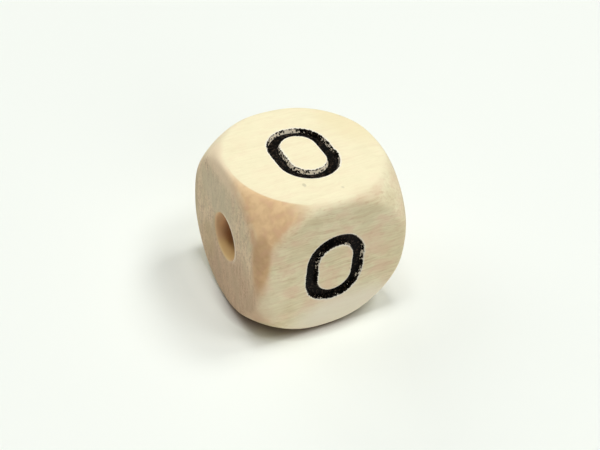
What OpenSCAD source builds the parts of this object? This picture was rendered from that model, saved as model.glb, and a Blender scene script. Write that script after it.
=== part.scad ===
// Small wooden cube bead: a cube whose corners are cut by a ball, with edges softened by tumbling,
// a cord hole from end to end and an oval ring pressed into each of the four sides around the hole.
// X runs along the hole, Z is up, and the origin is the middle of the bead. All sizes are in millimetres.

/* [Cube] */
// Width of the cube across its flat faces
side = 10; // [9:0.5:14]
// Depth of the ball cut at the middle of each edge, which sets how round the corners are
edge_cut = 0.11; // [0.06:0.01:0.35]
// Radius that tumbling leaves along the edges
tumble_r = 0.6; // [0.3:0.05:0.9]

/* [Cord hole] */
// Diameter of the cord hole
bore_d = 3; // [2:0.1:4]
// Width of the small break around each mouth of the hole
mouth_break = 0.12; // [0.05:0.01:0.3]

/* [Pressed ring] */
// Outside width of the ring, along the hole
ring_w = 3.8; // [3:0.1:4.6]
// Outside height of the ring, across the hole
ring_h = 5; // [4.8:0.1:6]
// Width of the pressed line at the surface of the wood
line_w = 0.75; // [0.5:0.05:1]
// How far each wall of the line leans in on its way down
line_lean = 0.1; // [0.02:0.01:0.2]
// Depth of the pressed line
line_depth = 0.35; // [0.15:0.05:0.6]

/* [Hidden] */
$fn = 96;

maple = [0.93, 0.87, 0.74];
foil_black = [0.09, 0.08, 0.09];

// The ball that cuts the corners passes just inside the middle of every edge
half = side / 2;
ball_r = side / sqrt(2) - edge_cut;

// The rim of each flat face is a rounding of tumble_r, centred on this circle and drawn as a few bands
core_half = half - tumble_r;
rim_r = sqrt(pow(ball_r - tumble_r, 2) - pow(core_half, 2));
rim_turn = atan(rim_r / core_half);
rim_bands = 3;

// Middle line of the ring: two half turns joined by two straight runs
bend_r = (ring_w - line_w) / 2;
straight = ring_h - ring_w;

// A point of the rim's rounding, from the flat face (0) to the ball (rim_bands)
function on_rim(band) =
    [rim_r, core_half] + tumble_r * [sin(rim_turn * band / rim_bands), cos(rim_turn * band / rim_bands)];

// The pressed line's section: it is line_w wide at the wood's surface, which is at height 0,
// and its walls carry on as far above the surface as they go below it
function line_section() = [
    [-line_w / 2 - line_lean, line_depth],
    [-line_w / 2 + line_lean, -line_depth],
    [line_w / 2 - line_lean, -line_depth],
    [line_w / 2 + line_lean, line_depth]
];

// Turned about Z, it rounds the rims of the top and bottom faces and clears the rest of the bead
module rim_spindle() {
    crown = on_rim(0) - on_rim(1);
    skirt = on_rim(rim_bands) - on_rim(rim_bands - 1);
    tip_z = on_rim(0)[1] - crown[1] * on_rim(0)[0] / crown[0];
    belt_r = on_rim(rim_bands)[0] - skirt[0] * on_rim(rim_bands)[1] / skirt[1];
    upper = [for (band = [1 : rim_bands - 1]) on_rim(band)];
    lower = [for (band = [rim_bands - 1 : -1 : 1]) [on_rim(band)[0], -on_rim(band)[1]]];
    rotate_extrude()
        polygon(concat([[0, tip_z]], upper, [[belt_r, 0]], lower, [[0, -tip_z]]));
}

// Square bar along Z with its four long edges rounded
module tumbled_bar() {
    linear_extrude(height = side, center = true) {
        square([side, 2 * core_half], center = true);
        square([2 * core_half, side], center = true);
        for (x = [-1, 1], y = [-1, 1])
            translate([x, y] * core_half)
                circle(r = tumble_r);
    }
}

// The shape common to three copies of a child, one along each axis
module common_to_axes() {
    intersection() {
        children();
        rotate([90, 0, 0]) children();
        rotate([0, 90, 0]) children();
    }
}

module rounded_cube() {
    intersection() {
        sphere(r = ball_r);
        common_to_axes() tumbled_bar();
        common_to_axes() rim_spindle();
    }
}

// The hole along X, with a break at each mouth
module cord_hole() {
    rotate([0, 90, 0]) {
        cylinder(h = side + 2 * mouth_break, d = bore_d, center = true);
        for (end = [0, 1])
            mirror([0, 0, end])
                translate([0, 0, half - mouth_break])
                    cylinder(h = 2 * mouth_break, r1 = bore_d / 2, r2 = bore_d / 2 + 2 * mouth_break);
    }
}

// Cutter for one pressed ring in the top face
module pressed_ring() {
    translate([0, 0, half]) {
        for (turn = [0, 180])
            rotate([0, 0, turn]) {
                translate([0, straight / 2, 0])
                    rotate_extrude(angle = 180)
                        translate([bend_r, 0])
                            polygon(line_section());
                translate([bend_r, straight / 2, 0])
                    rotate([90, 0, 0])
                        linear_extrude(height = straight)
                            polygon(line_section());
            }
    }
}

module bead() {
    difference() {
        color(maple) rounded_cube();
        color(maple) cord_hole();
        for (turn = [0 : 90 : 270])
            color(foil_black) rotate([turn, 0, 0]) pressed_ring();
    }
}

bead();
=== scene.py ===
# A small maple cube bead on a pale table: ball-cut corners, tumbled edges, a cord hole along X and a
# black oval ring pressed into each of the four sides around the hole.
import math

import bmesh
import bpy
from mathutils import Matrix, Vector, noise


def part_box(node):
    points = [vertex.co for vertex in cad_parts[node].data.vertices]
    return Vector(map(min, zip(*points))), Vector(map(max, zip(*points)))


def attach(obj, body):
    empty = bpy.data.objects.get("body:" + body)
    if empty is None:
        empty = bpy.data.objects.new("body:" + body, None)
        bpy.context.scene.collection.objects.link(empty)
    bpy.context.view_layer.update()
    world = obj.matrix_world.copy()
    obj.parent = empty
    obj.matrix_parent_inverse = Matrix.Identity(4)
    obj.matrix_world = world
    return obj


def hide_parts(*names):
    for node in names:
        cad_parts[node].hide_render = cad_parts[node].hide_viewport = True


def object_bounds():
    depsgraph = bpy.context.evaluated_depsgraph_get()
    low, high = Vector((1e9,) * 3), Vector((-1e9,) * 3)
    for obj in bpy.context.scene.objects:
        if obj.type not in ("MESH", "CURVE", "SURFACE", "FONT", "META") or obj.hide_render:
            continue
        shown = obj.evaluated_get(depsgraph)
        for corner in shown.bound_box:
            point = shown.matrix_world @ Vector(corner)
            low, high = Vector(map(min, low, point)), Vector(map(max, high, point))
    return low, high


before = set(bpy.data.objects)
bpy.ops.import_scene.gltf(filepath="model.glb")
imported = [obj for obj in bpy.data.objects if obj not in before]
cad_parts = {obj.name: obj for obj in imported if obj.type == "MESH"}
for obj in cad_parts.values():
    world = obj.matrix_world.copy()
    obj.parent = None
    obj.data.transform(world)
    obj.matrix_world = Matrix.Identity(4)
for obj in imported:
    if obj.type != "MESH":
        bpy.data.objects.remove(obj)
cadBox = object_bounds()
mm = 0.001

# The camera stands where the photograph's did, with the picture taken as 600 by 450 pixels
camera = {
    "azimuth": -30.2,  # degrees round the bead, 0 looks along +Y
    "elevation": 40.3,
    "roll": 5.24,
    "distance": 60.1,  # mm from the middle of the bead
    "focal": 962.7,  # pixels
    "middle": (297.4, 217.1),  # the pixel at which the middle of the bead stands
    "frame": (600, 450),
    "sensor": 36.0,
    "clip": (0.001, 20),  # m
}


def makeCamera():
    turn, tilt, roll = (math.radians(camera[name]) for name in ("azimuth", "elevation", "roll"))
    back = Vector((math.sin(turn) * math.cos(tilt), -math.cos(turn) * math.cos(tilt), math.sin(tilt)))
    levelRight = Vector((math.cos(turn), math.sin(turn), 0))
    levelUp = back.cross(levelRight)
    right = levelRight * math.cos(roll) + levelUp * math.sin(roll)
    up = levelUp * math.cos(roll) - levelRight * math.sin(roll)
    width, height = camera["frame"]
    aside = (camera["middle"][0] - width / 2) / camera["focal"]
    above = (height / 2 - camera["middle"][1]) / camera["focal"]
    toBead = (right * aside + up * above - back).normalized()
    eye = bpy.data.objects.new("camera", bpy.data.cameras.new("camera"))
    eye.data.sensor_width = camera["sensor"]
    eye.data.lens = camera["focal"] * camera["sensor"] / width
    eye.data.clip_start, eye.data.clip_end = camera["clip"]
    facing = Matrix((right, up, back)).transposed().to_4x4()
    eye.matrix_world = Matrix.Translation(-toBead * camera["distance"] * mm) @ facing
    bpy.context.scene.collection.objects.link(eye)
    bpy.context.scene.camera = eye


makeCamera()
print("camera set")

# The bead's shape, in millimetres
bead = {
    "ballRadius": 6.98,  # the ball that cuts the corners
    "crispness": {"x": 45, "y": 28, "z": 41, "ball": 70},  # lower wears the rims of those flats rounder
    "waviness": 0.012,  # how far the tumbled surface wanders
    "waveLength": 2.2,
    "hole": {"radius": 1.5, "mouth": 0.2, "cutLip": 0.12},  # cutLip is how much of its lip looks cut
    "ring": {"width": 3.8, "height": 5.0, "line": 0.75, "lean": 0.1, "depth": 0.35},
    "weld": 0.002,  # how closely its six panels meet
    # The closed loops of its mesh, from the middle of each panel outwards
    "points": 120,  # round each loop, a multiple of 8
    "islandLoops": (0.2, 0.45, 0.7),  # how wide they bend, inside a ring
    "wallLoops": (0.2, 0.4, 0.6, 0.75, 0.86, 0.92),  # shares of the way out through the hole
    "lipSteps": 6,
    "mouthLoops": (0.26, 0.6, 1.2),  # how far outside the wall of the hole
    "flatLoops": (0.66, 0.76, 0.83, 0.88, 0.91, 0.94),  # shares of half the bead's width
    "rimLoops": (0.04, 0.08, 0.13, 0.19, 0.27, 0.38, 0.52, 0.68, 0.84, 1),  # shares of the rest
}
half = (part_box("bead")[1].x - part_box("bead")[0].x) / 2 / mm
hole, ring = bead["hole"], bead["ring"]
ringBend = (ring["width"] - ring["line"]) / 2  # radius of its middle line at both ends
farFromLine = 9  # a lineOffset that is clear of the pressed line


def tumbled(point):
    # The point of the worn surface that lies in this direction from the middle of the bead.
    # There the shares of the three pairs of flats and of the ball add up to one
    crispness = bead["crispness"]
    shares = [(abs(point[axis]) / half, crispness["xyz"[axis]]) for axis in range(3)]
    shares.append((point.length / bead["ballRadius"], crispness["ball"]))
    reach = 1 / max(share for share, power in shares)
    for guess in range(6):
        total = sum((share * reach) ** power for share, power in shares)
        slope = sum(power * (share * reach) ** power for share, power in shares) / reach
        reach -= (total - 1) / slope
    return point * reach


def onRing(offset, depth, angle):
    # On the loop that runs this far outside the ring's middle line, this deep in the wood
    bend = ringBend + offset
    straight = (ring["height"] - ring["width"]) / 2
    shift = 0 if abs(math.sin(angle)) < 1e-6 else math.copysign(straight, math.sin(angle))
    return Vector((bend * math.cos(angle), shift + bend * math.sin(angle), half - depth))


def onCircle(radius, height, angle):
    return Vector((radius * math.cos(angle), radius * math.sin(angle), height))


def onPanel(radius, toEdge, angle):
    # Between a circle on the flat and the square edge of the panel
    across = Vector((math.cos(angle), math.sin(angle), 0))
    edge = across * (half / max(abs(across.x), abs(across.y)))
    return (across * radius).lerp(edge, toEdge) + Vector((0, 0, half))


def grooveSection():
    # Distance from the middle line and depth, from the middle of the line outwards. The corner of
    # its floor and the lip of its wall are rounded
    top, floor, depth = ring["line"] / 2, ring["line"] / 2 - ring["lean"], ring["depth"]
    return [
        (0.0, depth),
        (floor * 0.65, depth),
        (floor - 0.03, depth * 0.98),
        (floor + 0.005, depth * 0.88),
        (floor + 0.045, depth * 0.5),
        (top - 0.02, depth * 0.2),
        (top + 0.01, depth * 0.07),
        (top + 0.05, depth * 0.015),
        (top + 0.1, 0.0),
        (top + 0.22, 0.0),
    ]


def tagPoint(bm, v, tags):
    for name, value in tags.items():
        v[bm.verts.layers.float[name]] = value
    v[bm.verts.layers.float["ringHeight"]] = v.co.y


def startLoop(bm, place, tags, capped):
    made = bmesh.ops.create_circle(bm, cap_ends=capped, segments=bead["points"], radius=1)["verts"]
    station = bm.verts.layers.int["station"]
    for v in made:
        v[station] = round(math.atan2(v.co.y, v.co.x) / (2 * math.pi) * bead["points"]) % bead["points"]
        v.co = place(2 * math.pi * v[station] / bead["points"])
        tagPoint(bm, v, tags)
    return list({e for v in made for e in v.link_edges})


def growLoop(bm, edges, place, tags):
    # Extrudes a closed loop and moves each new point to its place at its own angle
    grown = bmesh.ops.extrude_edge_only(bm, edges=edges)["geom"]
    station = bm.verts.layers.int["station"]
    for v in grown:
        if isinstance(v, bmesh.types.BMVert):
            v.co = place(2 * math.pi * v[station] / bead["points"])
            tagPoint(bm, v, tags)
    return [e for e in grown if isinstance(e, bmesh.types.BMEdge) and e.is_boundary]


def growOuterPanel(bm, edges):
    worn = {"lineOffset": farFromLine, "lineDepth": 0, "inHole": 0, "worn": 1}
    radii = [share * half for share in bead["flatLoops"]]
    for radius in radii:
        edges = growLoop(bm, edges, lambda angle: onPanel(radius, 0, angle), worn)
    for toEdge in bead["rimLoops"]:
        edges = growLoop(bm, edges, lambda angle: onPanel(radii[-1], toEdge, angle), worn)


def growSide(bm):
    section = grooveSection()
    inward = [(-offset, depth) for offset, depth in reversed(section[1:])]
    start, *island = [(bend - ringBend, 0) for bend in bead["islandLoops"]]
    edges = startLoop(bm, lambda angle: onRing(*start, angle), {"lineOffset": start[0]}, True)
    for offset, depth in island + inward + section:
        tags = {"lineOffset": offset, "lineDepth": depth}
        edges = growLoop(bm, edges, lambda angle: onRing(offset, depth, angle), tags)
    growOuterPanel(bm, edges)


def growEnd(bm):
    wallRadius, mouth = hole["radius"], hole["mouth"]
    wall = [(wallRadius, half * share) for share in bead["wallLoops"]]
    turns = [math.pi / 2 * step / bead["lipSteps"] for step in range(bead["lipSteps"] + 1)]
    lip = [(wallRadius + mouth * (1 - math.cos(t)), half - mouth * (1 - math.sin(t))) for t in turns]
    flat = [(wallRadius + beyond, half) for beyond in bead["mouthLoops"]]
    tags = {"lineOffset": farFromLine, "inHole": 1}
    edges = startLoop(bm, lambda angle: onCircle(wallRadius, 0, angle), tags, False)
    for radius, height in wall + lip + flat:
        tags["inHole"] = 1 - min(max(radius - wallRadius, 0) / hole["cutLip"], 1)
        edges = growLoop(bm, edges, lambda angle: onCircle(radius, height, angle), tags)
    growOuterPanel(bm, edges)


def makeBead():
    bm = bmesh.new()
    bm.verts.layers.int.new("station")
    for name in ("lineOffset", "lineDepth", "ringHeight", "inHole", "worn"):
        bm.verts.layers.float.new(name)
    panels = [(growSide, Matrix.Rotation(math.radians(turn), 3, "X")) for turn in (0, 90, 180, 270)]
    panels += [(growEnd, Matrix.Rotation(math.radians(turn), 3, "Y")) for turn in (90, -90)]
    for grow, turn in panels:
        before = set(bm.verts)
        grow(bm)
        bmesh.ops.rotate(bm, verts=[v for v in bm.verts if v not in before], matrix=turn)
    worn = bm.verts.layers.float["worn"]
    for v in bm.verts:
        if v[worn]:
            v.co = tumbled(v.co)
    bmesh.ops.remove_doubles(bm, verts=bm.verts, dist=bead["weld"])
    bmesh.ops.recalc_face_normals(bm, faces=bm.faces)
    bm.normal_update()
    across = bm.verts.layers.float.new("acrossGrain")
    flatSawn = bm.verts.layers.float.new("flatSawn")
    outward = bm.verts.layers.float.new("outward")
    for v in bm.verts:
        v[across] = abs(v.normal.x)
        v[flatSawn] = abs(v.normal.y)
        v[outward] = math.hypot(*sorted(abs(c) for c in v.co)[:2])  # mm from the middle of its flat
        wander = 0.5 + 0.5 * noise.noise(v.co / bead["waveLength"])
        v.co -= v.normal * wander * bead["waviness"]
    bmesh.ops.scale(bm, verts=bm.verts, vec=(mm, mm, mm))
    for face in bm.faces:
        face.smooth = True
    bm.verts.layers.float.remove(bm.verts.layers.float["worn"])
    bm.verts.layers.int.remove(bm.verts.layers.int["station"])
    mesh = bpy.data.meshes.new("tumbledBead")
    bm.to_mesh(mesh)
    bm.free()
    return mesh


def addPiece(name, mesh):
    piece = bpy.data.objects.new(name, mesh)
    bpy.context.scene.collection.objects.link(piece)
    return piece


tumbledBead = addPiece("tumbledBead", makeBead())
print("bead modelled,", len(tumbledBead.data.polygons), "faces")


# Materials: colours are written as sRGB hex and turned to linear here
def colour(hexCode):
    parts = [int(hexCode[i : i + 2], 16) / 255 for i in (1, 3, 5)]
    return tuple(p / 12.92 if p <= 0.04045 else ((p + 0.055) / 1.055) ** 2.4 for p in parts) + (1.0,)


def addNode(tree, kind, settings, inputs, output=0):
    # settings are the node's own choices and inputs its sockets by name or number, linked or set.
    # It gives back the output socket of that number, for the next node to be linked to
    node = tree.nodes.new("ShaderNode" + kind)
    for name, value in settings.items():
        setattr(node, name, value)
    for name, value in inputs.items():
        if isinstance(value, bpy.types.NodeSocket):
            tree.links.new(value, node.inputs[name])
        else:
            node.inputs[name].default_value = value
    return node.outputs[output] if node.outputs else node


def newMaterial(name):
    material = bpy.data.materials.new(name)
    material.use_nodes = True
    material.node_tree.nodes.clear()
    return material, material.node_tree


# By number, the inputs of Mix are its share, 0, and its two colours, 6 and 7, and those of Map Range
# are the value, 0, the stretch that it comes from, 1 and 2, and the one that it goes to, 3 and 4
mix = {"data_type": "RGBA"}
smooth = {"interpolation_type": "SMOOTHSTEP"}
plus = {"operation": "ADD"}
times = {"operation": "MULTIPLY"}
timesAndPlus = {"operation": "MULTIPLY_ADD"}
larger = {"operation": "MAXIMUM"}
minus = {"operation": "SUBTRACT"}
unsigned = {"operation": "ABSOLUTE"}
clamped = {"use_clamp": True}
zoneEdge = (0.1, 0.6)  # a zone fades in over this much of the way from its reach to its middle


def stretch(value, span):
    # The inputs of a Map Range that gives 0, or the span's least, where the value is at its from, and
    # 1, or its strength, where the value is at its to
    least, strength = span.get("least", 0), span.get("strength", 1)
    return {0: value, 1: span["from"], 2: span["to"], 3: least, 4: strength}


def nearTo(tree, place, zone):
    # The zone's strength around its middle, softly down to nothing at its reach, both in mm
    at = {"Vector": place, "Location": zone["at"], "Scale": zone["reach"]}
    at = addNode(tree, "Mapping", {"vector_type": "TEXTURE"}, at)
    near = addNode(tree, "TexGradient", {"gradient_type": "SPHERICAL"}, {"Vector": at}, 1)
    start, end = zoneEdge
    return addNode(tree, "MapRange", smooth, {0: near, 1: start, 2: end, 3: 0, 4: zone["strength"]})


def withZoneColour(tree, under, place, zoneColour):
    # The colour under it, with the zone's own colour in its zone: a stain, painted light or painted shade
    near = nearTo(tree, place, zoneColour)
    return addNode(tree, "Mix", mix, {0: near, 6: under, 7: colour(zoneColour["colour"])}, 2)


def tinted(tree, under, pattern, tint):
    # The colour under it, with the tint where the pattern is strong
    share = addNode(tree, "MapRange", smooth, stretch(pattern, tint))
    return addNode(tree, "Mix", mix, {0: share, 6: under, 7: colour(tint["colour"])}, 2)


# The wood along its grain, in mm: long low streaks of several widths, rosier and greyer in patches
maple = {
    "cream": "#F9F1CC",
    "shade": "#CFB080",
    # The layers of its figure: mm long and wide, the stretch of the noise that shows, and how darkly
    "figure": {
        "fibres": {"long": 2.6, "wide": 0.1, "from": 0.36, "to": 0.72, "strength": 0.25},
        "flecks": {"long": 0.35, "wide": 0.15, "from": 0.5, "to": 0.8, "strength": 0.3},
        "streaks": {"long": 3.4, "wide": 0.26, "from": 0.5, "to": 0.75, "strength": 0.26},
        "mottle": {"long": 1.8, "wide": 1.1, "from": 0.4, "to": 0.7, "strength": 0.2},
    },
    "flatSawn": {"from": 0.2, "to": 0.9, "least": 0.27},  # the sides that show the figure most
    "patch": {"long": 1.5, "wide": 0.9},
    "rose": {"colour": "#F0CEAF", "from": 0.42, "to": 0.72, "strength": 0.5},
    "grey": {"colour": "#DFD6AC", "from": 0.5, "to": 0.3, "strength": 0.4},
    "bend": 0.3,  # how far its lines wander
    "bendLength": 2.5,
    "onFlat": {"from": 0.5, "to": 0.95},  # how squarely a point has to face to be on that flat
    "roughness": 0.6,
    "specular": 0.07,
    "relief": {"strength": 0.3, "height": 0.02, "figure": -0.5},  # dark figure lies lower
}


def mapleCoordinates(tree):
    # Millimetres along and across the grain, straight and with the wander of its lines
    place = addNode(tree, "TexCoord", {}, {}, 3)
    straight = addNode(tree, "Mapping", {}, {"Vector": place, "Scale": (1 / mm,) * 3})
    scale = 1 / maple["bendLength"]
    wander = addNode(tree, "TexNoise", {}, {"Vector": straight, "Scale": scale, "Detail": 1}, 1)
    back = addNode(tree, "Mapping", {}, {"Vector": straight, "Location": (-maple["bend"],) * 3})
    bent = addNode(tree, "VectorMath", timesAndPlus, {0: wander, 1: (2 * maple["bend"],) * 3, 2: back})
    return straight, bent


def longGrain(tree, bent):
    dark = 0.0
    for layer in maple["figure"].values():
        scale = (1 / layer["long"], 1 / layer["wide"], 1 / layer["wide"])
        at = addNode(tree, "Mapping", {}, {"Vector": bent, "Scale": scale})
        drawn = addNode(tree, "TexNoise", {}, {"Vector": at, "Scale": 1, "Detail": 2})
        shown = addNode(tree, "MapRange", smooth, stretch(drawn, layer))
        dark = addNode(tree, "Math", plus, {0: dark, 1: shown})
    flatSawn = addNode(tree, "Attribute", {"attribute_name": "flatSawn"}, {}, 2)
    strength = addNode(tree, "MapRange", smooth, stretch(flatSawn, maple["flatSawn"]))
    seen = addNode(tree, "Math", times | clamped, {0: dark, 1: strength})
    wood = addNode(tree, "Mix", mix, {0: seen, 6: colour(maple["cream"]), 7: colour(maple["shade"])}, 2)
    patch = maple["patch"]
    scale = (1 / patch["long"], 1 / patch["wide"], 1 / patch["wide"])
    at = addNode(tree, "Mapping", {}, {"Vector": bent, "Scale": scale})
    patches = addNode(tree, "TexNoise", {}, {"Vector": at, "Scale": 1, "Detail": 2})
    for tint in (maple["rose"], maple["grey"]):
        share = addNode(tree, "MapRange", smooth, stretch(patches, tint))
        share = addNode(tree, "Math", times, {0: share, 1: strength})
        wood = addNode(tree, "Mix", mix, {0: share, 6: wood, 7: colour(tint["colour"])}, 2)
    return wood, dark


# The wood across its grain, on the two ends: short year lines, open pores and cooler patches
endWood = {
    "pale": "#F6E2BF",
    "shade": "#C4AC8C",
    "yearLine": {"long": 0.8, "wide": 0.22, "from": 0.36, "to": 0.7, "strength": 0.46},
    "pore": {"across": 0.12, "from": 0.42, "to": 0.72, "strength": 0.55},
    "cool": {"colour": "#DACDA8", "from": 0.38, "to": 0.66, "strength": 0.6},
}


def endGrain(tree, straight, bent):
    yearLine, pore, patch = endWood["yearLine"], endWood["pore"], maple["patch"]
    scale = (1 / yearLine["long"], 1 / yearLine["wide"], 1 / yearLine["long"])
    at = addNode(tree, "Mapping", {}, {"Vector": bent, "Scale": scale})
    lines = addNode(tree, "TexNoise", {}, {"Vector": at, "Scale": 1, "Detail": 2})
    pores = addNode(tree, "TexNoise", {}, {"Vector": straight, "Scale": 1 / pore["across"], "Detail": 2})
    lined = addNode(tree, "MapRange", smooth, stretch(lines, yearLine))
    speckled = addNode(tree, "MapRange", smooth, stretch(pores, pore))
    dark = addNode(tree, "Math", plus | clamped, {0: lined, 1: speckled})
    shades = {6: colour(endWood["pale"]), 7: colour(endWood["shade"])}
    wood = addNode(tree, "Mix", mix, {0: dark} | shades, 2)
    at = addNode(tree, "Mapping", {}, {"Vector": bent, "Scale": (1, 1 / patch["wide"], 1 / patch["long"])})
    patches = addNode(tree, "TexNoise", {}, {"Vector": at, "Scale": 1, "Detail": 3})
    return tinted(tree, wood, patches, endWood["cool"]), pores


# Tan wood over one ball-cut corner, down the upright edge under it and along the rim above the end
tanWood = {
    "pale": "#F3D2A2",
    "shade": "#CAA276",
    "rose": {"colour": "#E8BC9A", "from": 0.45, "to": 0.7, "strength": 0.4},
    "blotch": 0.5,  # mm
    # Where it starts, in mm from the middle of a flat: sooner on the end and later on the side. On
    # the top it is all there within onTop, and off the top it starts early, ends late and is ragged
    "start": 4.74,
    "sooner": 0.35,
    "later": -0.2,
    "onTop": 0.12,
    "early": -0.4,
    "late": 0.85,
    "ragged": 0.9,
    "depth": {"from": 0.3, "to": 0.7, "least": 0.12, "strength": 0.52},
    "deeper": 0.3,  # down the upright edge
    "corner": {"at": (-5, -5, 5), "reach": (4.3, 6.6, 6), "strength": 1},
    "edge": {"at": (-4.9, -4.75, 2.2), "reach": (0.95, 1.3, 4.4), "strength": 1},
    # Painted light: the rim between the top and the end is painted paler where it leaves the top
    "rubbedAndPaintedLight": "#FAE6C4",
    "paintedLightRim": {"at": (-5, 0.8, 4.9), "reach": (2, 5.6, 1.6), "strength": 0.75},
    "leavesTop": {"from": 0.1, "to": 0.6},
}


def warmWood(tree, straight, bent, wood):
    names = ({"attribute_name": name} for name in ("acrossGrain", "flatSawn", "outward"))
    across, flatSawn, outward = (addNode(tree, "Attribute", name, {}, 2) for name in names)
    scale = 1 / tanWood["blotch"]
    blotches = addNode(tree, "TexNoise", {}, {"Vector": bent, "Scale": scale, "Detail": 2})
    spots = addNode(tree, "TexNoise", {}, {"Vector": straight, "Scale": scale, "Detail": 1})
    offTop = addNode(tree, "Math", larger, {0: flatSawn, 1: across})
    offTop = addNode(tree, "MapRange", smooth, stretch(offTop, maple["onFlat"]))
    ragged = {0: blotches, 1: tanWood["ragged"], 2: -tanWood["ragged"] / 2}
    ragged = addNode(tree, "Math", timesAndPlus, ragged)
    for share, amount in ((across, tanWood["sooner"]), (flatSawn, tanWood["later"]), (offTop, ragged)):
        outward = addNode(tree, "Math", timesAndPlus, {0: share, 1: amount, 2: outward})
    start, end = tanWood["start"], tanWood["start"] + tanWood["onTop"]
    first = addNode(tree, "Math", timesAndPlus, {0: offTop, 1: tanWood["early"], 2: start})
    last = addNode(tree, "Math", timesAndPlus, {0: offTop, 1: tanWood["late"], 2: end})
    tanned = addNode(tree, "MapRange", smooth, {0: outward, 1: first, 2: last, 3: 0, 4: 1})
    tanned = addNode(tree, "Math", times, {0: tanned, 1: nearTo(tree, straight, tanWood["corner"])})
    edge = nearTo(tree, straight, tanWood["edge"])
    tanned = addNode(tree, "Math", larger, {0: edge, 1: tanned})
    deep = addNode(tree, "MapRange", smooth, stretch(blotches, tanWood["depth"]))
    deep = addNode(tree, "Math", timesAndPlus | clamped, {0: edge, 1: tanWood["deeper"], 2: deep})
    tan = addNode(tree, "Mix", mix, {0: deep, 6: colour(tanWood["pale"]), 7: colour(tanWood["shade"])}, 2)
    tan = tinted(tree, tan, spots, tanWood["rose"])
    # The painted light on the rim above the end
    rim = addNode(tree, "MapRange", smooth, stretch(across, tanWood["leavesTop"]))
    rim = addNode(tree, "Math", times, {0: rim, 1: nearTo(tree, straight, tanWood["paintedLightRim"])})
    wood = addNode(tree, "Mix", mix, {0: rim, 6: wood, 7: colour(tanWood["rubbedAndPaintedLight"])}, 2)
    return addNode(tree, "Mix", mix, {0: tanned, 6: wood, 7: tan}, 2)


# The drilled wood of the hole, in mm. One mouth has a painted highlight on its front and upper side, and
# behind it the wall is ochre with painted light low down and has painted shade on its far side
drilledWood = {
    "nearMouth": "#F3D4A8",
    "deeper": "#F2CBA2",
    "depth": (1.0, 0.05),  # from its mouth
    # Ochre wood, painted lighter low down in the hole where light comes in through the mouth
    "floor": {"colour": "#FFE4A4", "at": (-4.7, 0.2, -1.5), "reach": (1.3, 1.6, 1.1), "strength": 0.8},
    # Painted shade on the far wall inside the hole
    "dark": {"colour": "#80543C", "at": (-3.5, 1.1, -1.05), "reach": (1.3, 2, 2), "strength": 0.6},
    "cut": {"from": 0.3, "to": 1},  # the stretch of inHole in which the lip's wood turns to it
    # Painted highlight on the lip of one mouth
    "rubbedAndPaintedLight": "#FDF1DA",
    "paintedHighlightLip": {"at": (-5, -1.1, 0.9), "reach": (1, 1.9, 2.4), "strength": 1},
    "highlightWidth": (0.22, 0.36),  # from its wall to where the painted highlight starts and ends fading
}


def drillHole(tree, straight, wood):
    names = ({"attribute_name": name} for name in ("inHole", "outward"))
    inHole, outward = (addNode(tree, "Attribute", name, {}, 2) for name in names)
    # The painted highlight on the lip
    start, end = (hole["radius"] + width for width in drilledWood["highlightWidth"])
    lip = addNode(tree, "MapRange", smooth, {0: outward, 1: start, 2: end, 3: 1, 4: 0})
    lip = addNode(tree, "Math", times, {0: lip, 1: nearTo(tree, straight, drilledWood["paintedHighlightLip"])})
    wood = addNode(tree, "Mix", mix, {0: lip, 6: wood, 7: colour(drilledWood["rubbedAndPaintedLight"])}, 2)
    along = addNode(tree, "SeparateXYZ", {}, {0: straight})
    along = addNode(tree, "Math", unsigned, {0: along})
    start, end = (half - depth for depth in drilledWood["depth"])
    deep = addNode(tree, "MapRange", smooth, {0: along, 1: start, 2: end, 3: 1, 4: 0})
    shades = {6: colour(drilledWood["nearMouth"]), 7: colour(drilledWood["deeper"])}
    cut = addNode(tree, "Mix", mix, {0: deep} | shades, 2)
    # The painted light and painted shade inside the hole
    for zoneColour in (drilledWood["floor"], drilledWood["dark"]):
        cut = withZoneColour(tree, cut, straight, zoneColour)
    inside = addNode(tree, "MapRange", smooth, stretch(inHole, drilledWood["cut"]))
    return addNode(tree, "Mix", mix, {0: inside, 6: wood, 7: cut}, 2)


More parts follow.
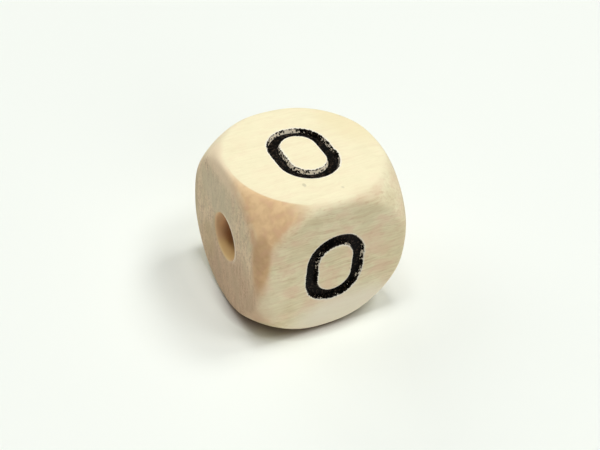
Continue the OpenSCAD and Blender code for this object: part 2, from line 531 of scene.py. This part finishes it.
# Stains, painted light and shade, darker places and two small marks on the sides that were looked at most
# closely
stainsAndPaintedLight = {
    "greyedEnd": {"colour": "#D3CBAC", "at": (-5, 1.0, 2.3), "reach": (1.5, 3.4, 2.2), "strength": 0.5},
    # Darker towards the bottom of the end
    "darkerLowEnd": {"colour": "#BF9A7D", "at": (-5, -2, -3.6), "reach": (1.5, 8, 5.8), "strength": 0.45},
    "yellowedRim": {"colour": "#EFDFAE", "at": (4.4, 2.5, 4.9), "reach": (3, 4.5, 2), "strength": 0.4},
    # Painted shade along the far upright edge, over an olive tone of its own
    "paintedShadeBackEdge": {"colour": "#BCB088", "at": (-4.9, 5, 0.5), "reach": (1.3, 1.3, 9), "strength": 0.45},
    "duskySide": {"colour": "#CDC2A6", "at": (0.6, -5, 3.5), "reach": (4.5, 1.5, 2.2), "strength": 0.05},
    # Darker in the middle of the tan band down the upright edge
    "darkerBandMiddle": {"colour": "#C0A27C", "at": (-4.8, -4.5, 2.4), "reach": (0.9, 0.9, 2.2), "strength": 0.35},
    "yellowedEnd": {"colour": "#CDB98A", "at": (-5, 2.4, -2), "reach": (1.5, 1.6, 2.2), "strength": 0.35},
    # Painted shade on the underside of the lower front corner
    "paintedShadeFoot": {"colour": "#C4A588", "at": (-4.5, -4.7, -3.6), "reach": (1.5, 1.6, 2.2), "strength": 0.4},
    # Painted light along the foot of the side, as bounced up from the table
    "paintedLightFoot": {"colour": "#FFF9E2", "at": (1.4, -4.8, -4.4), "reach": (6, 1.8, 3.2), "strength": 0.85},
    "paleEdge": {"colour": "#FDF3D2", "at": (-4.0, -5, -1.5), "reach": (1.4, 1, 3), "strength": 0.32},
    "yellowedSide": {"colour": "#DCCB98", "at": (4.2, -5, 0.6), "reach": (1.8, 1, 2.8), "strength": 0.22},
    "mark": {"colour": "#A9A184", "at": (-1.24, -2.77, 5), "reach": (0.17, 0.2, 1), "strength": 0.4},
    "smallMark": {"colour": "#A9A184", "at": (0.64, -3.78, 5), "reach": (0.13, 0.16, 1), "strength": 0.25},
}

# The black hot foil in the pressed line, in mm
foil = {
    "black": "#020202",
    "dust": {"colour": "#45392F", "from": 0.5, "to": 0.74},  # specks of dust and wood in it
    "roughness": 0.5,
    "spill": 0.015,  # how far it reaches past the line
    "fade": 0.015,  # over which its outline is soft
    "unevenness": 0.13,  # between its wider and narrower stretches
    "unevenLength": 0.9,
    "raggedness": 0.17,
    "crumb": 0.13,  # across one crumb of its torn edge
    # Painted highlight: the pushed-up wood along the line is painted paler than the rest
    "lip": "#FDF8E8",  # the wood that the press pushed up along the line
    "lipHighlightWidth": 0.12,
    # It has come away in places, on the walls of the line: there the pressed wood is bare
    "bare": "#FFF2D8",
    "wallTop": {"from": 0.1, "to": 0.15},
    "wallTorn": 0.12,  # how raggedly its bare places end there
    "wallFoot": {"from": 0.31, "to": 0.25},
    "broad": 0.7,  # how much its uneven stretches count beside the crumbs
    "bared": {"from": 1, "to": 1.05},  # the wear at which it is gone
    "ringEnd": {"from": 1.7, "to": 2.2, "strength": 0.2},  # on the outer wall at one end of the ring
    "topSide": {"from": 4.2, "to": 4.5, "strength": 0.06},
    # The foil is rubbed away more in this zone of the top
    "rubbedAndPaintedLight": {"at": (-1.6, -1.8, 4.8), "reach": (4.2, 4.6, 1.6), "strength": 0.17},
}


def foilCover(tree, straight):
    # Where the foil lies, where it was pressed and where the lip of wood along it is, from 0 to 1
    names = ({"attribute_name": name} for name in ("lineOffset", "lineDepth", "ringHeight"))
    offset, depth, height = (addNode(tree, "Attribute", name, {}, 2) for name in names)
    distance = addNode(tree, "Math", unsigned, {0: offset})
    uneven, crumb = (1 / foil[name] for name in ("unevenLength", "crumb"))
    slow = addNode(tree, "TexNoise", {}, {"Vector": straight, "Scale": uneven, "Detail": 1})
    torn = addNode(tree, "TexNoise", {}, {"Vector": straight, "Scale": crumb, "Detail": 2})
    wide = addNode(tree, "Math", timesAndPlus, {0: slow, 1: foil["unevenness"], 2: distance})
    wide = addNode(tree, "Math", timesAndPlus, {0: torn, 1: foil["raggedness"], 2: wide})
    edge = ring["line"] / 2 + foil["spill"] + (foil["unevenness"] + foil["raggedness"]) / 2
    start, end = edge - foil["fade"], edge + foil["fade"]
    inside = addNode(tree, "MapRange", smooth, {0: wide, 1: start, 2: end, 3: 1, 4: 0})
    # Where the painted highlight along the line lies
    lip = addNode(tree, "MapRange", {}, {0: wide, 1: edge, 2: edge + foil["lipHighlightWidth"], 3: 1, 4: 0})
    low = addNode(tree, "Math", timesAndPlus, {0: torn, 1: foil["wallTorn"], 2: depth})
    low = addNode(tree, "MapRange", smooth, stretch(low, foil["wallTop"]))
    high = addNode(tree, "MapRange", smooth, stretch(depth, foil["wallFoot"]))
    wall = addNode(tree, "Math", times, {0: low, 1: high})
    outer = addNode(tree, "Math", {"operation": "GREATER_THAN"}, {0: offset, 1: 0})
    atEnd = addNode(tree, "MapRange", smooth, stretch(height, foil["ringEnd"]))
    atEnd = addNode(tree, "Math", times, {0: atEnd, 1: outer})
    upward = addNode(tree, "SeparateXYZ", {}, {0: straight}, 2)
    onTop = addNode(tree, "MapRange", smooth, stretch(upward, foil["topSide"]))
    worn = addNode(tree, "Math", timesAndPlus, {0: slow, 1: foil["broad"], 2: torn})
    for wear in (atEnd, onTop, nearTo(tree, straight, foil["rubbedAndPaintedLight"])):
        worn = addNode(tree, "Math", plus, {0: worn, 1: wear})
    bare = addNode(tree, "MapRange", smooth, stretch(worn, foil["bared"]))
    bare = addNode(tree, "Math", times, {0: bare, 1: wall})
    kept = addNode(tree, "Math", minus, {0: 1.0, 1: bare})
    return addNode(tree, "Math", times, {0: inside, 1: kept}), inside, lip


# Tumbled bare maple with hot foil: pale cream with fine faint streaks along the hole, greyer speckled
# ends, a tan corner, hardly any shine, and a matt crumbling black left in the pressed rings
def makeMaple():
    material, tree = newMaterial("tumbledMaple")
    straight, bent = mapleCoordinates(tree)
    across = addNode(tree, "Attribute", {"attribute_name": "acrossGrain"}, {}, 2)
    wood, figure = longGrain(tree, bent)
    sawn, pores = endGrain(tree, straight, bent)
    onEnd = addNode(tree, "MapRange", smooth, stretch(across, maple["onFlat"]))
    wood = addNode(tree, "Mix", mix, {0: onEnd, 6: wood, 7: sawn}, 2)
    wood = warmWood(tree, straight, bent, wood)
    # Stains, and painted light and shade
    for zoneColour in stainsAndPaintedLight.values():
        wood = withZoneColour(tree, wood, bent, zoneColour)
    wood = drillHole(tree, straight, wood)
    covered, pressed, lip = foilCover(tree, straight)
    # The painted highlight along the pressed line
    wood = addNode(tree, "Mix", mix, {0: lip, 6: wood, 7: colour(foil["lip"])}, 2)
    wood = addNode(tree, "Mix", mix, {0: pressed, 6: wood, 7: colour(foil["bare"])}, 2)
    black = tinted(tree, colour(foil["black"]), pores, foil["dust"])
    surface = addNode(tree, "Mix", mix, {0: covered, 6: wood, 7: black}, 2)
    rough = {0: covered, 1: 0, 2: 1, 3: maple["roughness"], 4: foil["roughness"]}
    rough = addNode(tree, "MapRange", {}, rough)
    relief = maple["relief"]
    height = addNode(tree, "Math", timesAndPlus, {0: figure, 1: relief["figure"], 2: pores})
    bump = {"Strength": relief["strength"], "Distance": relief["height"] * mm, "Height": height}
    bump = addNode(tree, "Bump", {}, bump)
    inputs = {"Base Color": surface, "Roughness": rough, "Normal": bump}
    shader = addNode(tree, "BsdfPrincipled", {}, inputs | {"Specular IOR Level": maple["specular"]})
    addNode(tree, "OutputMaterial", {}, {"Surface": shader})
    return material


tumbledBead.data.materials.append(makeMaple())
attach(tumbledBead, "root")
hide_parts("bead")
print("bead finished")

# The table, the sky and the lamps
table = {
    "reach": 3.0,  # m
    "seen": "#F5F9F2",
    "bounced": "#F4F2ED",
    # Painted shade: the card is painted brown for the camera where it lies close under the worn edges
    "paintedContactShade": "#6A463C",  # where it lies close under the worn edges
    "closeness": 0.8,  # mm
    "paintedShadeZone": {"at": (-3.5, -4.6, -5), "reach": (8.5, 7.5, 5), "strength": 1},
    "runsOut": {"from": 45, "to": 180},  # mm from the bead, over which it passes into the backdrop
}
sky = {"seen": "#FBFDF8", "light": "#F4F8FF", "level": 0.01}
lamps = {
    "overhead": {"towards": (0, 0, 1), "distance": 0.5, "width": 0.1, "level": 0.275},
    "right": {"towards": (0.44, 0, 0.9), "distance": 0.5, "width": 0.14, "level": 0.25},
    "rightFront": {"towards": (0.31, -0.31, 0.9), "distance": 0.5, "width": 0.14, "level": 0.2},
    "left": {"towards": (-0.21, 0, 0.98), "distance": 0.5, "width": 0.1, "level": 0.168},
    "leftBack": {"towards": (-0.525, 0.525, 0.67), "distance": 0.5, "width": 0.3, "level": 0.15},
    "back": {"towards": (0, 0.93, 0.37), "distance": 0.5, "width": 0.3, "level": 0.17},
    "front": {"towards": (0, -0.93, 0.37), "distance": 0.5, "width": 0.3, "level": 0.133},
}


# Matt card: white with no shine, with painted brown shade close under the bead, and as bright as the
# backdrop where it runs out into it. What the camera doesn't see of it only bounces light
def makeTableTop():
    material, tree = newMaterial("matteTable")
    toCamera = addNode(tree, "LightPath", {}, {}, 0)
    bounced = addNode(tree, "BsdfDiffuse", {}, {"Color": colour(table["bounced"])})
    closeness = {"Distance": table["closeness"] * mm}
    # Painted shade: how hidden the card is close under the bead, strongest in its zone
    clear = addNode(tree, "AmbientOcclusion", {"samples": 16}, closeness, 1)
    paintedShadeShare = addNode(tree, "Math", minus, {0: 1.0, 1: clear})
    place = addNode(tree, "TexCoord", {}, {}, 3)
    place = addNode(tree, "Mapping", {}, {"Vector": place, "Scale": (1 / mm,) * 3})
    paintedShadeShare = addNode(tree, "Math", times, {0: paintedShadeShare, 1: nearTo(tree, place, table["paintedShadeZone"])})
    shades = {6: colour(table["seen"]), 7: colour(table["paintedContactShade"])}
    shade = addNode(tree, "Mix", mix, {0: paintedShadeShare} | shades, 2)
    seen = addNode(tree, "BsdfDiffuse", {}, {"Color": shade})
    away = addNode(tree, "VectorMath", {"operation": "LENGTH"}, {0: place}, 1)
    away = addNode(tree, "MapRange", smooth, stretch(away, table["runsOut"]))
    backdrop = addNode(tree, "Emission", {}, {"Color": colour(sky["seen"]), "Strength": 1.0})
    seen = addNode(tree, "MixShader", {}, {0: away, 1: seen, 2: backdrop})
    mixed = addNode(tree, "MixShader", {}, {0: toCamera, 1: bounced, 2: seen})
    addNode(tree, "OutputMaterial", {}, {"Surface": mixed})
    return material


def makeTable():
    mesh = bpy.data.meshes.new("table")
    bm = bmesh.new()
    bmesh.ops.create_grid(bm, x_segments=1, y_segments=1, size=table["reach"] / 2)
    bmesh.ops.translate(bm, verts=bm.verts, vec=(0, 0, cadBox[0][2]))
    bm.to_mesh(mesh)
    bm.free()
    mesh.materials.append(makeTableTop())
    addPiece("table", mesh)


def makeSky():
    world = bpy.data.worlds.new("sky")
    world.use_nodes = True
    tree = world.node_tree
    tree.nodes.clear()
    toCamera = addNode(tree, "LightPath", {}, {}, 0)
    light = addNode(tree, "Background", {}, {"Color": colour(sky["light"]), "Strength": sky["level"]})
    seen = addNode(tree, "Background", {}, {"Color": colour(sky["seen"]), "Strength": 1.0})
    mixed = addNode(tree, "MixShader", {}, {0: toCamera, 1: light, 2: seen})
    addNode(tree, "OutputWorld", {}, {"Surface": mixed})
    bpy.context.scene.world = world


def makeLamp(name, lamp):
    # A level of 1 lights a surface that faces the lamp so that its colour renders about as written
    disk = bpy.data.lights.new(name, "AREA")
    disk.shape = "DISK"
    disk.size = lamp["width"]
    disk.energy = lamp["level"] * (math.pi * lamp["distance"]) ** 2
    hung = bpy.data.objects.new(name, disk)
    towards = Vector(lamp["towards"]).normalized()
    facing = towards.to_track_quat("Z", "Y").to_matrix().to_4x4()
    hung.matrix_world = Matrix.Translation(towards * lamp["distance"]) @ facing
    bpy.context.scene.collection.objects.link(hung)


makeTable()
makeSky()
for name, lamp in lamps.items():
    makeLamp(name, lamp)
bpy.context.scene.view_settings.view_transform = "Standard"
print("table and lamps set")
